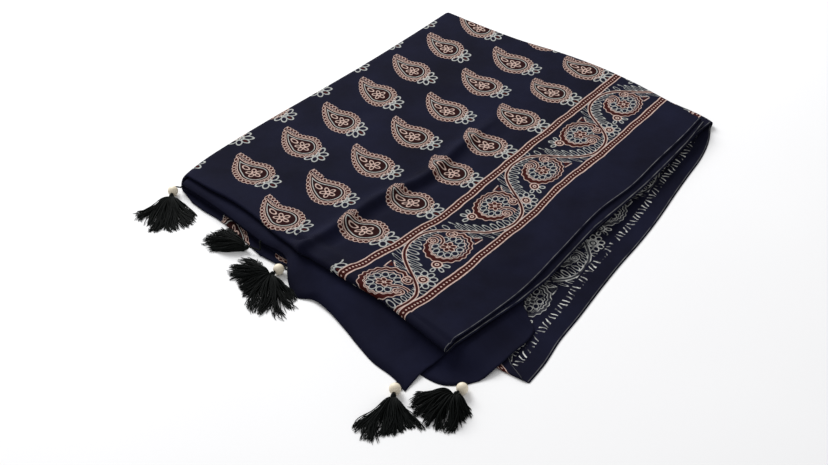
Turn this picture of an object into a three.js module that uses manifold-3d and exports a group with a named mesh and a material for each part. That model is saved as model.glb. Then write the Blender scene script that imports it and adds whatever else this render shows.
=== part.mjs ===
// A printed cotton shawl, folded into eight layers, with beaded thread tassels at its two ends.
// Millimetres, +Z up, standing on Z = 0. X runs from the last crease to the selvedges, and Y runs
// along the cloth's length. Every layer is one cloth, so the folded shawl is one solid.
import * as THREE from "three";
import { mergeVertices } from "three/addons/utils/BufferGeometryUtils.js";
import Module from "manifold-3d";

const CLOTH_THICK = 1.0;
const LAYER_PITCH = 2.6; // from the middle of one layer to the middle of the next
const LAYERS = 8;
const DRAPE_RUN = 34; // how far past a layer's edge the cloth above it needs to come down
const UNEVEN = 0.3; // how much the pitch wanders
const ROLL_SWELL = 6.5; // extra height of the soft roll at the near fold of the top layers
const ROLL_REACH = 22;
const RIDGE_SWELL = 2.6; // the soft ridge on the top layer, along its length
const RIDGE_HALF = 11;

const BEAD_RADIUS = 6.9;
const BEAD_HOLE = 1.9; // radius
const BEAD_STEPS = 7; // facets from one end of the hole to the other
const BEAD_SIDES = 12;
const CORD_RADIUS = 1.2;
const NECK_RADIUS = 3.4;
const NECK_LENGTH = 8;
const NECK_GAP = 0.9; // from the bead to the bound neck, measured at the middle
const STRAND_ROOT = 1.5; // half width of a strand where it leaves the neck
const STRAND_TIP = 0.75;
const GAP = 0.4; // between the cord and what it passes
const MOUTH = 1.8; // how far from the bead the cord runs straight

const NAVY = 0x1b1b30;
const IVORY = 0xd9cbae;
const THREAD_BLACK = 0x0d1211;

// A smooth line through [place, value] rows, held level past its first and last row.
function line(...rows) {
  const places = rows.map((row) => row[0]);
  const values = rows.map((row) => row[1]);
  const fit = new THREE.CubicInterpolant(places, values, 1);
  return (place) => fit.evaluate(place)[0];
}

function smooth(from, to, value) {
  return THREE.MathUtils.smoothstep(value, from, to);
}

const mix = THREE.MathUtils.lerp;

// Where each fold starts to turn, and where the two ends lie. Rows are [x, y].
const nearFoldUpper = line(
  [0, 18], [36, 17], [86, 17], [119, 13], [140, 9], [165, 3], [190, 0], [215, -2], [293, -5],
  [349, -7], [410, -17], [461, -24],
);
const nearFoldLower = line(
  [0, 4], [28, -6], [82, -9], [121, -16], [183, -27], [205, -20], [350, -20], [450, -12],
  [500, -2], [555, 4],
);
const farFoldUpper = line(
  [0, 577], [68, 576], [140, 578], [204, 586], [277, 589], [340, 584], [399, 574],
  [461, 562],
);
const farFoldLower = line(
  [0, 577], [100, 580], [200, 587], [277, 589], [400, 587], [460, 583], [500, 570],
);
const endOneUpper = line(
  [0, 3], [80, -4], [160, -16], [205, -20], [225, -40], [253, -56], [273, -48],
  [297, -50], [332, -60], [368, -73], [397, -82], [430, -86], [454, -94],
);
const endOneLower = line([0, 3], [100, -4], [160, -14], [250, -16], [470, -8]);
const endTwoUpper = line(
  [0, 4], [200, -8], [260, -30], [330, -42], [400, -56], [450, -63], [480, -60],
  [494, -50], [506, -38],
);
const endTwoLower = line([0, 4], [160, -8], [300, -12], [470, -4]);

// How far each layer's selvedge lies from the crease. Rows are [y, x].
const selvedgeTop = line(
  [-25, 461], [0, 461], [50, 467], [110, 472], [195, 468], [298, 463], [368, 469],
  [437, 467], [515, 466], [565, 463],
);
const selvedgeSecond = line(
  [-25, 461], [18, 468], [60, 473], [106, 480], [290, 475], [345, 479], [452, 478],
  [507, 476], [565, 470],
);
const selvedgeThird = line([-99, 454], [-60, 452], [-20, 458], [60, 464], [300, 466], [565, 470]);
const selvedgeFourth = line(
  [-44, 500], [-30, 509], [-8, 514], [30, 516], [66, 515], [78, 510], [88, 494],
  [98, 480], [112, 470], [300, 466], [565, 463],
);
const selvedgeFifth = line([0, 470], [300, 472], [500, 470], [585, 474]);
const selvedgeSixth = line([0, 474], [300, 470], [585, 470]);
const selvedgeSeventh = line([0, 553], [12, 526], [40, 500], [90, 478], [300, 472], [585, 470]);
const selvedgeBottom = line(
  [0, 555], [40, 552], [80, 545], [128, 541], [182, 535], [237, 530], [291, 527],
  [343, 522], [419, 511], [457, 506], [498, 501], [526, 495], [551, 487], [575, 476],
  [590, 470],
);

// How far the last crease bows away from X = 0. Rows are [y, x].
const creaseBow = line(
  [0, -3], [22, -9], [60, -13], [110, -13], [190, -10], [270, -5], [390, 1], [490, 3],
  [590, 3],
);

// The ridge's path on the top layer. Rows are [y, x].
const ridgePath = line([0, 217], [72, 221], [147, 227], [204, 244], [304, 238], [420, 236]);

// The four lengths of the cloth from its first end to its last. The number is how many layers each
// lies from the middle of the stack, above it on the upper side and below it on the lower side.
const LENGTHS = [
  {
    away: 1.5,
    upper: [endOneUpper, farFoldUpper, selvedgeThird],
    lower: [endOneLower, farFoldLower, selvedgeSixth],
  },
  {
    away: 2.5,
    upper: [nearFoldUpper, farFoldUpper, selvedgeSecond],
    lower: [nearFoldLower, farFoldLower, selvedgeSeventh],
  },
  {
    away: 3.5,
    upper: [nearFoldUpper, farFoldUpper, selvedgeTop],
    lower: [nearFoldLower, farFoldLower, selvedgeBottom],
  },
  {
    away: 0.5,
    upper: [endTwoUpper, farFoldUpper, selvedgeFourth],
    lower: [endTwoLower, farFoldLower, selvedgeFifth],
  },
];
const MIDDLE = LAYERS / 2;

// The outlines of the eight layers, counted from the bottom.
const OUTLINES = [];
for (const length of LENGTHS) {
  OUTLINES[MIDDLE + length.away - 0.5] = length.upper;
  OUTLINES[MIDDLE - length.away - 0.5] = length.lower;
}

// 1 over a layer, easing to 0 past its edge, where the cloth above comes down.
function cover(layer, x, y) {
  const [near, far, selvedge] = OUTLINES[layer];
  const outside = Math.max(near(x) - y, y - far(x), x - selvedge(y));
  return 1 - smooth(0, DRAPE_RUN, outside);
}

// The rise from a layer to the next one up.
function rise(layer, x, y) {
  let pitch = LAYER_PITCH + UNEVEN * Math.sin(x / 47 + 1.9 * layer) * Math.sin(y / 83 + layer);
  if (layer === LAYERS - 2) {
    const fromFold = (y - nearFoldUpper(x)) / ROLL_REACH;
    const roll = mix(0.3, 1, smooth(188, 216, x)) * smooth(-5, 60, x);
    pitch += ROLL_SWELL * roll * Math.exp(-fromFold * fromFold);
    const fromRidge = (x - ridgePath(y)) / RIDGE_HALF;
    pitch += RIDGE_SWELL * Math.exp(-fromRidge * fromRidge) * (1 - smooth(260, 420, y));
  }
  return pitch * cover(layer, x, y);
}

// The height of the middle of a layer, resting on all those under it.
function heightOf(layer, x, y) {
  let height = CLOTH_THICK / 2;
  for (let under = 0; under < layer; under += 1) {
    height += rise(under, x, y);
  }
  return height;
}

// A point on one length: side is "upper" or "lower", across goes from the crease (0) to the
// selvedge (1), and along goes from the near fold or end (0) to the far fold (1).
function onLength(length, side, across, along) {
  const [near, far, selvedge] = length[side];
  let x = across * selvedge(0);
  let y = 0;
  for (let pass = 0; pass < 4; pass += 1) {
    y = mix(near(x), far(x), along);
    x = across * selvedge(y);
  }
  const sign = side === "upper" ? 1 : -1;
  const layer = MIDDLE + sign * length.away - 0.5;
  return new THREE.Vector3(x, y, heightOf(layer, x, y));
}

// A point on the half turn that joins two lengths at the near fold (end 0) or the far fold (end 1).
function onTurn(from, to, side, across, end, angle) {
  const start = onLength(from, side, across, end);
  const finish = onLength(to, side, across, end);
  const point = start.clone().lerp(finish, (1 - Math.cos(angle)) / 2);
  const bulge = (Math.abs(start.z - finish.z) / 2) * Math.sin(angle);
  point.y += end === 0 ? -bulge : bulge;
  return point;
}

// Steps along one length, as shares of the way from its near edge to the far fold.
const LONG_STEPS = [0, 0.04, 0.08, 0.12, 0.17, 0.23, 0.34, 0.48, 0.62, 0.76, 0.9, 1];
const FLAP_STEPS = [0, 0.04, 0.08, 0.14, 0.19, 0.21, 0.23, 0.25, 0.28, 0.45, 0.7, 0.9, 1];
const TURN_STEPS = { tight: 4, wide: 6 };

// The stations of the section: each gives a point for a side and a share of the way across.
function sectionStations() {
  const [first, second, third, fourth] = LENGTHS;
  const stations = [];
  const run = (length, steps) => {
    for (const along of steps) {
      stations.push((side, across) => onLength(length, side, across, along));
    }
  };
  const turn = (from, to, end, count) => {
    for (let step = 1; step < count; step += 1) {
      const angle = (Math.PI * step) / count;
      stations.push((side, across) => onTurn(from, to, side, across, end, angle));
    }
  };
  const back = (steps) => [...steps].reverse();
  run(first, LONG_STEPS);
  turn(first, second, 1, TURN_STEPS.tight);
  run(second, back(LONG_STEPS));
  turn(second, third, 0, TURN_STEPS.wide);
  run(third, LONG_STEPS);
  turn(third, fourth, 1, TURN_STEPS.wide);
  run(fourth, back(FLAP_STEPS));
  return stations;
}

const UPPER_STEPS = [0.03, 0.1, 0.2, 0.31, 0.41, 0.455, 0.48, 0.505, 0.53, 0.56, 0.65, 0.76, 0.87, 0.95, 1];
const LOWER_STEPS = [0.04, 0.15, 0.3, 0.45, 0.6, 0.75, 0.87, 0.94, 1];
const CREASE_STEPS = 7;

// The row of points across the cloth at one station, from the upper side's selvedge, round the
// crease, to the lower side's selvedge.
function rowAcross(station) {
  const row = [];
  for (const across of [...UPPER_STEPS].reverse()) {
    row.push(station("upper", across));
  }
  const over = station("upper", 0);
  const under = station("lower", 0);
  const radius = (over.z - under.z) / 2;
  for (let step = 0; step <= CREASE_STEPS; step += 1) {
    const angle = (Math.PI * step) / CREASE_STEPS;
    const point = over.clone().lerp(under, (1 - Math.cos(angle)) / 2);
    point.x = -radius * Math.sin(angle);
    row.push(point);
  }
  for (const across of LOWER_STEPS) {
    row.push(station("lower", across));
  }
  for (const point of row) {
    point.x += creaseBow(point.y) * (1 - smooth(0, 200, point.x));
  }
  return row;
}

const CLOTH_ROWS = sectionStations().map(rowAcross);

// Two sheets, half a thickness to each side of the middle, closed along all four edges.
function clothGeometry() {
  const rows = CLOTH_ROWS;
  const lastRow = rows.length - 1;
  const lastColumn = rows[0].length - 1;
  const outward = [];
  const inward = [];
  rows.forEach((row, i) => {
    row.forEach((point, j) => {
      const ahead = rows[Math.min(i + 1, lastRow)][j];
      const behind = rows[Math.max(i - 1, 0)][j];
      const right = row[Math.min(j + 1, lastColumn)];
      const left = row[Math.max(j - 1, 0)];
      const normal = right.clone().sub(left).cross(ahead.clone().sub(behind)).normalize();
      outward.push(point.clone().addScaledVector(normal, CLOTH_THICK / 2));
      inward.push(point.clone().addScaledVector(normal, -CLOTH_THICK / 2));
    });
  });
  const width = lastColumn + 1;
  const count = outward.length;
  const faces = [];
  const quad = (a, b, c, d) => faces.push(a, b, c, a, c, d);
  for (let i = 0; i < lastRow; i += 1) {
    for (let j = 0; j < lastColumn; j += 1) {
      const a = i * width + j;
      quad(a, a + 1, a + 1 + width, a + width);
      quad(count + a, count + a + width, count + a + 1 + width, count + a + 1);
    }
  }
  for (let j = 0; j < lastColumn; j += 1) {
    const end = lastRow * width + j;
    quad(j + 1, j, count + j, count + j + 1);
    quad(end, end + 1, count + end + 1, count + end);
  }
  for (let i = 0; i < lastRow; i += 1) {
    const a = i * width;
    const b = a + lastColumn;
    quad(a, a + width, count + a + width, count + a);
    quad(b + width, b, count + b, count + b + width);
  }
  const geometry = new THREE.BufferGeometry().setFromPoints([...outward, ...inward]);
  geometry.setIndex(faces);
  return geometry;
}

// A wooden bead: a ball with a hole along Z.
function beadGeometry() {
  const from = Math.asin(BEAD_HOLE / BEAD_RADIUS);
  const profile = [];
  for (let step = 0; step <= BEAD_STEPS; step += 1) {
    const angle = mix(from, Math.PI - from, step / BEAD_STEPS);
    profile.push(new THREE.Vector2(BEAD_RADIUS * Math.sin(angle), -BEAD_RADIUS * Math.cos(angle)));
  }
  profile.push(profile[0].clone());
  return new THREE.LatheGeometry(profile, BEAD_SIDES);
}

const wasm = await Module();
wasm.setup();

function solidFrom(geometry) {
  const bare = geometry.clone();
  bare.deleteAttribute("normal");
  bare.deleteAttribute("uv");
  const merged = mergeVertices(bare, 1e-4);
  return new wasm.Manifold(
    new wasm.Mesh({
      numProp: 3,
      vertProperties: merged.attributes.position.array,
      triVerts: new Uint32Array(merged.index.array),
    }),
  );
}

function geometryFrom(solid) {
  const mesh = solid.getMesh();
  const geometry = new THREE.BufferGeometry();
  geometry.setAttribute("position", new THREE.BufferAttribute(mesh.vertProperties, 3));
  geometry.setIndex(new THREE.BufferAttribute(mesh.triVerts, 1));
  return geometry;
}

// A three-sided strand through its points, wide at its root and narrow at its tip, lying on a
// flat side, with its lowest edges at the height of the points.
function strandGeometry(points, halfRoot, halfTip) {
  const corners = [];
  points.forEach((point, index) => {
    const ahead = points[Math.min(index + 1, points.length - 1)];
    const behind = points[Math.max(index - 1, 0)];
    const aside = new THREE.Vector3(ahead.y - behind.y, behind.x - ahead.x, 0).normalize();
    const half = mix(halfRoot, halfTip, index / (points.length - 1));
    corners.push(point.clone().addScaledVector(aside, half));
    corners.push(point.clone().addScaledVector(aside, -half));
    corners.push(point.clone().add(new THREE.Vector3(0, 0, 1.6 * half)));
  });
  const faces = [0, 2, 1];
  for (let index = 0; index + 1 < points.length; index += 1) {
    for (let side = 0; side < 3; side += 1) {
      const a = 3 * index + side;
      const b = 3 * index + ((side + 1) % 3);
      faces.push(a, b + 3, a + 3, a, b, b + 3);
    }
  }
  const last = 3 * (points.length - 1);
  faces.push(last, last + 1, last + 2);
  const geometry = new THREE.BufferGeometry().setFromPoints(corners);
  geometry.setIndex(faces);
  return geometry;
}

// The tassels that show. The bead's middle is [x, y], and end is the cloth's end that it is tied to.
// The neck points along heading, in degrees from +X, and the strands fan over spread, reaching from
// short to long. bend turns each strand sideways on its way, and loft says how high they arch.
// The second tassel's bead is hidden under the cloth, so its cord comes out bare.
const TASSEL_ROWS = [
  // x, y, end, heading, spread, short, long, strands, bend, loft, bead
  [-11.6, -9.6, 0, -54, 66, 50, 64, 16, 5, 1.5, true],
  [155, -27, 0, -160, 54, 40, 54, 11, -4, 1.4, false],
  [207, -36.5, 0, -95, 112, 46, 66, 19, 4, 1.7, true],
  [446, -102, 0, -61, 78, 44, 58, 14, 6, 1.8, true],
  [504, -55, 1, -94, 112, 34, 48, 16, 3, 2.4, true],
];
const TASSELS = TASSEL_ROWS.map(
  ([x, y, end, heading, spread, short, long, strands, bend, loft, bead]) => ({
    x, y, end, heading, spread, short, long, strands, bend, loft, bead,
  }),
);

// Where a tassel's cord meets the cloth: the nearest place on that end's edge, and the level
// direction that leaves the edge squarely there, towards the bead.
function tieAt(tassel) {
  const bead = new THREE.Vector3(tassel.x, tassel.y, BEAD_RADIUS);
  const edge = CLOTH_ROWS[tassel.end * (CLOTH_ROWS.length - 1)];
  let nearest = edge[0];
  const outward = new THREE.Vector3();
  for (let index = 0; index + 1 < edge.length; index += 1) {
    const stretch = new THREE.Line3(edge[index], edge[index + 1]);
    const point = stretch.closestPointToPoint(bead, true, new THREE.Vector3());
    if (point.distanceTo(bead) < nearest.distanceTo(bead)) {
      nearest = point;
      const run = stretch.delta(new THREE.Vector3());
      outward.set(run.y, -run.x, 0);
      if (outward.dot(bead.clone().sub(nearest)) < 0) {
        outward.negate();
      }
    }
  }
  // Round the crease the edge stands upright, and leaves it square to Y.
  if (nearest.x < 0) {
    outward.set(0, -1, 0);
  }
  outward.normalize();
  nearest = nearest.clone().setZ(Math.max(nearest.z, CORD_RADIUS + 0.1));
  return { nearest, outward };
}

// One tassel: the cord from the cloth's edge through the bead, the bound neck, and the strands.
function tasselGeometry(tassel, number) {
  const heading = THREE.MathUtils.degToRad(tassel.heading);
  const ahead = new THREE.Vector3(Math.cos(heading), Math.sin(heading), 0);
  const aside = new THREE.Vector3(-ahead.y, ahead.x, 0);
  const bead = new THREE.Vector3(tassel.x, tassel.y, BEAD_RADIUS);
  const neckStart = bead.clone().addScaledVector(ahead, BEAD_RADIUS + NECK_GAP);
  const neckEnd = neckStart.clone().addScaledVector(ahead, NECK_LENGTH);
  neckEnd.z = NECK_RADIUS + 0.2;
  const { nearest, outward } = tieAt(tassel);
  const mouth = bead.clone().addScaledVector(ahead, -BEAD_RADIUS - MOUTH);
  const throughBead = new THREE.LineCurve3(
    mouth.clone().addScaledVector(ahead, -0.6),
    neckStart.clone().addScaledVector(ahead, 2),
  );
  const toEdge = new THREE.CatmullRomCurve3([
    nearest.clone().addScaledVector(outward, GAP),
    nearest.clone().addScaledVector(outward, GAP + 1.2),
    mouth,
  ]);
  const neckRoute = new THREE.LineCurve3(neckStart, neckEnd);
  let solid = rodAlong(throughBead, CORD_RADIUS, 8, 1);
  solid = solid.add(rodAlong(toEdge, CORD_RADIUS, 6, 5));
  solid = solid.add(rodAlong(neckRoute, NECK_RADIUS, 10, 1));
  for (let strand = 0; strand < tassel.strands; strand += 1) {
    const share = (strand + 0.5) / tassel.strands - 0.5;
    const layer = strand % 3;
    const wander = Math.sin(12.9 * strand + 5.3 * number);
    const turned = heading + THREE.MathUtils.degToRad(tassel.spread * share + 2 * wander);
    const reach = mix(tassel.short, tassel.long, 0.5 + 0.5 * Math.sin(7.7 * strand + number));
    const bend = THREE.MathUtils.degToRad(tassel.bend) * (1 + wander);
    const from = neckEnd.clone().addScaledVector(ahead, -3);
    from.addScaledVector(aside, 1.7 * NECK_RADIUS * share);
    const points = [];
    for (const [far, height] of STRAND_FALL[layer]) {
      const angle = turned + bend * far * far;
      const away = reach * far;
      const point = from.clone();
      point.x += away * Math.cos(angle);
      point.y += away * Math.sin(angle);
      point.z = far === 0 ? height : height * tassel.loft;
      points.push(point);
    }
    solid = solid.add(solidFrom(strandGeometry(points, STRAND_ROOT, STRAND_TIP)));
  }
  return geometryFrom(solid);
}

// How the three sheets of strands come down to the floor, at a loft of 1. Rows are
// [share of the reach, height].
const STRAND_FALL = [
  [[0, 0.6], [0.4, 0], [1, 0]],
  [[0, 2.4], [0.34, 2.2], [0.7, 0.9], [1, 0]],
  [[0, 3.6], [0.36, 4.4], [0.74, 2.2], [1, 0.1]],
];

// A round rod along a route.
function rodAlong(route, radius, sides, steps) {
  return solidFrom(new THREE.ExtrudeGeometry(ring(radius, sides), { extrudePath: route, steps }));
}

function ring(radius, sides) {
  const shape = new THREE.Shape();
  for (let side = 0; side < sides; side += 1) {
    const angle = (2 * Math.PI * side) / sides;
    const x = radius * Math.cos(angle);
    const y = radius * Math.sin(angle);
    side ? shape.lineTo(x, y) : shape.moveTo(x, y);
  }
  shape.closePath();
  return shape;
}

function material(color, roughness) {
  return new THREE.MeshStandardMaterial({ color, roughness, metalness: 0 });
}

const plan = new THREE.Group();

const cloth = new THREE.Mesh(clothGeometry(), material(NAVY, 0.85));
cloth.name = "cloth";
plan.add(cloth);

TASSELS.forEach((tassel, index) => {
  if (tassel.bead) {
    const bead = new THREE.Mesh(beadGeometry(), material(IVORY, 0.55));
    bead.name = `bead_${index + 1}`;
    const heading = THREE.MathUtils.degToRad(tassel.heading);
    const ahead = new THREE.Vector3(Math.cos(heading), Math.sin(heading), 0);
    bead.quaternion.setFromUnitVectors(new THREE.Vector3(0, 1, 0), ahead);
    bead.position.set(tassel.x, tassel.y, BEAD_RADIUS);
    plan.add(bead);
  }
  const threads = new THREE.Mesh(tasselGeometry(tassel, index), material(THREAD_BLACK, 0.9));
  threads.name = `tassel_${index + 1}`;
  plan.add(threads);
});

// The origin goes under the middle of the whole part, on the floor.
const box = new THREE.Box3().setFromObject(plan);
const middle = box.getCenter(new THREE.Vector3());
plan.position.set(-middle.x, -middle.y, -box.min.z);

const shawl = new THREE.Group();
shawl.add(plan);

export default shawl;
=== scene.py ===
# %% [markdown]
# # A folded, block-printed shawl with thread tassels
#
# The real shawl is one length of thin cotton, printed by hand with carved wooden blocks and dyed
# deep indigo. It has been folded in half twice along its length and once across its width, so eight
# layers lie on each other. Threads are knotted to its ends, each through a wooden bead.
#
# This script builds its looks around the imported model. The cloth is a surface worked out from a few
# measured lines, its print is drawn by shader nodes in the cloth's own coordinates, and the
# tassels are bundles of fine threads.

# %% Load the imported model
import math

import bpy
import numpy as np
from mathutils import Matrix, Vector


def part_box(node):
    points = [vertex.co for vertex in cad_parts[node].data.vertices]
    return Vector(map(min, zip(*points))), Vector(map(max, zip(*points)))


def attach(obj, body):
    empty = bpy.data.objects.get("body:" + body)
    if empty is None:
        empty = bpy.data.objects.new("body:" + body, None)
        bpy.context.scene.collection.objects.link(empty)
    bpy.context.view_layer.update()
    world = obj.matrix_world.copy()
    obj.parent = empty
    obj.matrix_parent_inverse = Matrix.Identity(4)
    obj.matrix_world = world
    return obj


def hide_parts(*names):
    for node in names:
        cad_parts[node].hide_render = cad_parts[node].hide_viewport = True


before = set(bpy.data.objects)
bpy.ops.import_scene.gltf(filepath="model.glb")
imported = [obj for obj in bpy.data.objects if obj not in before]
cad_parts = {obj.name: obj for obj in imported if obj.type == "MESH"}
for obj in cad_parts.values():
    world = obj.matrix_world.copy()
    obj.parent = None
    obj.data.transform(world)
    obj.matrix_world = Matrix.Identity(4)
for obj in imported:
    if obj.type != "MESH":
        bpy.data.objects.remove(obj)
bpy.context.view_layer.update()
print("nodes:", sorted(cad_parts))

cloth_low, cloth_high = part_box("cloth")
print("the packed cloth reaches from", cloth_low, "to", cloth_high)

# %% [markdown]
# ## Smooth lines through measured rows
#
# A folded cloth has few straight edges. Each fold, end and selvedge is a short table of places
# measured on the shawl, and a smooth line is drawn through them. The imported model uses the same
# tables and the same kind of line, so the two agree.

# %% Lines and tables


def line(rows):
    """A smooth line through [place, value] rows, level past its first and last row.

    Between two rows it is the cubic whose slope at each row is the mean of the slopes of the two
    straight pieces that meet there.
    """
    place, value = np.array(rows, float).T
    chord = np.diff(value) / np.diff(place)
    slope = np.concatenate([chord[:1], (chord[:-1] + chord[1:]) / 2, chord[-1:]])

    def at(where):
        where = np.clip(where, place[0], place[-1])
        i = np.clip(np.searchsorted(place, where) - 1, 0, len(place) - 2)
        step = place[i + 1] - place[i]
        t = (where - place[i]) / step
        value_part = (2 * t**3 - 3 * t**2 + 1) * value[i] + (3 * t**2 - 2 * t**3) * value[i + 1]
        slope_part = (t**3 - 2 * t**2 + t) * slope[i] + (t**3 - t**2) * slope[i + 1]
        return value_part + step * slope_part

    return at


def smooth(start, end, value):
    """0 before start, 1 past end, and 3t^2 - 2t^3 between them."""
    t = np.clip((value - start) / (end - start), 0, 1)
    return t * t * (3 - 2 * t)


def mix(a, b, share):
    """a at share 0, b at share 1, and a straight line between."""
    return a + (b - a) * share


# Folds and ends: rows are [x, y].
near_fold_upper = line([
    [0, 18], [36, 17], [86, 17], [119, 13], [140, 9], [165, 3], [190, 0], [215, -2], [293, -5],
    [349, -7], [410, -17], [461, -24],
])
near_fold_lower = line([
    [0, 4], [28, -6], [82, -9], [121, -16], [183, -27], [205, -20],
    [350, -20], [450, -12], [500, -2], [555, 4],
])
far_fold_upper = line([
    [0, 577], [68, 576], [140, 578], [204, 586], [277, 589], [340, 584], [399, 574], [461, 562],
])
far_fold_lower = line([
    [0, 577], [100, 580], [200, 587], [277, 589], [400, 587], [460, 583], [500, 570],
])
end_one_upper = line([
    [0, 3], [80, -4], [160, -16], [205, -20], [225, -40], [253, -56], [273, -48],
    [297, -50], [332, -60], [368, -73], [397, -82], [430, -86], [454, -94],
])
end_one_lower = line([[0, 3], [100, -4], [160, -14], [250, -16], [470, -8]])
end_two_upper = line([
    [0, 4], [200, -8], [260, -30], [330, -42], [400, -56],
    [450, -63], [480, -60], [494, -50], [506, -38],
])
end_two_lower = line([[0, 4], [160, -8], [300, -12], [470, -4]])

# Selvedges: rows are [y, x].
selvedge_top = line([
    [-25, 461], [0, 461], [50, 467], [110, 472], [195, 468],
    [298, 463], [368, 469], [437, 467], [515, 466], [565, 463],
])
selvedge_second = line([
    [-25, 461], [18, 468], [60, 473], [106, 480], [290, 475],
    [345, 479], [452, 478], [507, 476], [565, 470],
])
selvedge_third = line([[-99, 454], [-60, 452], [-20, 458], [60, 464], [300, 466], [565, 470]])
selvedge_fourth = line([
    [-44, 500], [-30, 509], [-8, 514], [30, 516], [66, 515], [78, 510],
    [88, 494], [98, 480], [112, 470], [300, 466], [565, 463],
])
selvedge_fifth = line([[0, 470], [300, 472], [500, 470], [585, 474]])
selvedge_sixth = line([[0, 474], [300, 470], [585, 470]])
selvedge_seventh = line([[0, 553], [12, 526], [40, 500], [90, 478], [300, 472], [585, 470]])
selvedge_bottom = line([
    [0, 555], [40, 552], [80, 545], [128, 541], [182, 535], [237, 530], [291, 527],
    [343, 522], [419, 511], [457, 506], [498, 501], [526, 495], [551, 487], [575, 476], [590, 470],
])

# The last crease bows a little away from x = 0, and a soft ridge runs along the top layer.
crease_bow = line([
    [0, -3], [22, -9], [60, -13], [110, -13], [190, -10], [270, -5], [390, 1], [490, 3], [590, 3],
])
ridge_path = line([[0, 217], [72, 221], [147, 227], [204, 244], [304, 238], [420, 236]])

# A groove pressed into the top layer beside the near fold.
groove = line([[385, -1], [398, -8], [430, -13], [458, -17]])

# Soft troughs (below 0) and swells of the cloth over a layer: each row is [the layer below, x, y,
# half length, half width, degrees, millimetres].
RELIEF = [
    [6, 238, 60, 60, 7, 88, -2.2],
    [6, 252, 190, 70, 9, 82, -2.6],
    [6, 262, 330, 60, 12, 84, -2.0],
    [6, 203, 12, 15, 5, 8, -5.5],
    [6, 252, 14, 34, 8, -4, 3.2],
    [6, 120, 120, 50, 14, 35, 1.2],
    [6, 80, 260, 60, 15, 70, -1.4],
    [6, 150, 420, 70, 17, 30, 1.4],
    [6, 330, 480, 60, 14, 100, -1.4],
    [6, 430, 150, 40, 12, 65, 1.3],
    [6, 425, 330, 55, 11, 110, -1.3],
    [6, 300, 40, 40, 11, 130, 1.2],
    [4, 430, -37, 36, 3, -28, -1.3],
    [4, 428, -44, 36, 4, -28, 1.6],
    [4, 300, -44, 30, 5, 8, 1.4],
]
print("lines ready")

# %% [markdown]
# ## The heights of the eight layers
#
# The shawl's four lengths lie two layers each: one on the upper side of the last crease and one on
# the lower side. Each layer rests on those under it. Where a lower layer stops, the cloth above
# comes down softly, so a free edge drapes to the floor.

# %% Layers
CLOTH_THICK = 0.8
MIDDLE_OF_BOTTOM = 0.5
TOP_PITCH_LAYER = 6
LAYER_PITCH, LEAST_PITCH, PITCH_CHANGE = 2.6, 0.9, 0.3
DRAPE_RUN = 34
ROLL_SWELL, ROLL_REACH = 6.5, 22
GROOVE_DEPTH, GROOVE_HALF = 3.4, 2.6
RIDGE_SWELL, RIDGE_HALF, RIDGE_STEEP = 7.5, 11, 6

# Each length: how many layers it lies from the stack's middle, and its near line, far line and
# selvedge on the upper and on the lower side.
LENGTHS = [
    (1.5, (end_one_upper, far_fold_upper, selvedge_third),
     (end_one_lower, far_fold_lower, selvedge_sixth)),
    (2.5, (near_fold_upper, far_fold_upper, selvedge_second),
     (near_fold_lower, far_fold_lower, selvedge_seventh)),
    (3.5, (near_fold_upper, far_fold_upper, selvedge_top),
     (near_fold_lower, far_fold_lower, selvedge_bottom)),
    (0.5, (end_two_upper, far_fold_upper, selvedge_fourth),
     (end_two_lower, far_fold_lower, selvedge_fifth)),
]
OUTLINES = {}
for away, upper, lower in LENGTHS:
    OUTLINES[int(3.5 + away)] = upper
    OUTLINES[int(3.5 - away)] = lower


def cover(layer, x, y):
    """1 over a layer, easing to 0 within DRAPE_RUN past its edge."""
    near, far, selvedge = OUTLINES[layer]
    outside = np.maximum(np.maximum(near(x) - y, y - far(x)), x - selvedge(y))
    return 1 - smooth(0, DRAPE_RUN, outside)


def rise(layer, x, y):
    """The rise from a layer to the next one up: the uneven pitch and its relief, times the cover.

    Each swell is height * exp(-(ahead / half length)^2 - (aside / half width)^2).
    """
    pitch = LAYER_PITCH + PITCH_CHANGE * np.sin(x / 47 + 1.9 * layer) * np.sin(y / 83 + layer)
    if layer == TOP_PITCH_LAYER:
        from_fold = (y - near_fold_upper(x)) / ROLL_REACH
        roll = mix(0.3, 1, smooth(188, 216, x)) * smooth(-5, 60, x)
        pitch = pitch + ROLL_SWELL * roll * np.exp(-from_fold**2)
        in_groove = np.exp(-((y - groove(x)) / GROOVE_HALF) ** 2) * smooth(385, 400, x)
        pitch = pitch - GROOVE_DEPTH * in_groove
        # the ridge falls off more steeply on its far side from the crease
        past = x - ridge_path(y)
        from_ridge = past / np.where(past > 0, RIDGE_STEEP, RIDGE_HALF)
        pitch = pitch + RIDGE_SWELL * np.exp(-from_ridge**2) * (1 - smooth(260, 420, y))
    for under, at_x, at_y, long, wide, degrees, swell in RELIEF:
        if under == layer:
            c, s = math.cos(math.radians(degrees)), math.sin(math.radians(degrees))
            ahead = ((x - at_x) * c + (y - at_y) * s) / long
            aside = ((y - at_y) * c - (x - at_x) * s) / wide
            pitch = pitch + swell * np.exp(-ahead**2 - aside**2)
    pitch = np.maximum(pitch, LEAST_PITCH)
    return pitch * cover(layer, x, y)


def height_of(layer, x, y):
    """The height of a layer's middle: half a thickness and the rises of all layers under it."""
    height = np.full(np.broadcast(x, y).shape, MIDDLE_OF_BOTTOM)
    for under in range(layer):
        height = height + rise(under, x, y)
    return height


print("height of the top layer's middle:", height_of(7, np.array([230.0]), np.array([300.0])))

# %% [markdown]
# ## The cloth as one surface
#
# The surface is a grid. Its columns cross the cloth, from one selvedge, round the last crease, to
# the other selvedge. Its rows follow the cloth from its first end to its last, up and down through
# three folds. Whole columns and rows are worked out at once, as arrays.

# %% Grid of the cloth


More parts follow.
